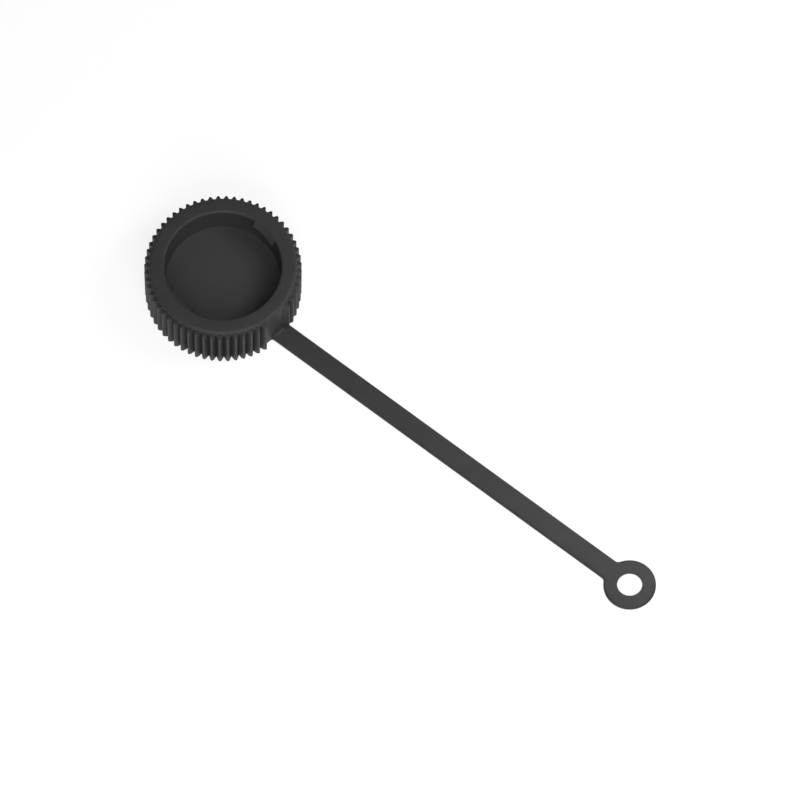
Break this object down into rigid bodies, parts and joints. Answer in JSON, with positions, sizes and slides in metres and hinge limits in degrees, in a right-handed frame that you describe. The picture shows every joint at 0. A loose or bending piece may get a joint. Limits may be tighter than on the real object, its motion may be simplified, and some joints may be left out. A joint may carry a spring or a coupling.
{
  "type": "port dust cap",
  "caption": "Round knurled plastic dust cap with bayonet lugs in its mouth, tethered by a flat strap that ends in an eyelet.",
  "frame": {"origin": "on the cap's axis, in the plane of its closed end, on which it stands", "axes": "+Z along the cap's axis, out of the mouth; +X along the strap, from the cap to the eyelet"},
  "size_m": [0.1184, 0.03, 0.0119],
  "materials": {
    "cap_plastic": "black moulded thermoplastic with a fine satin grain"
  },
  "bodies": {
    "root": {"dust_cap": "cap_plastic"}
  },
  "joints": []
}
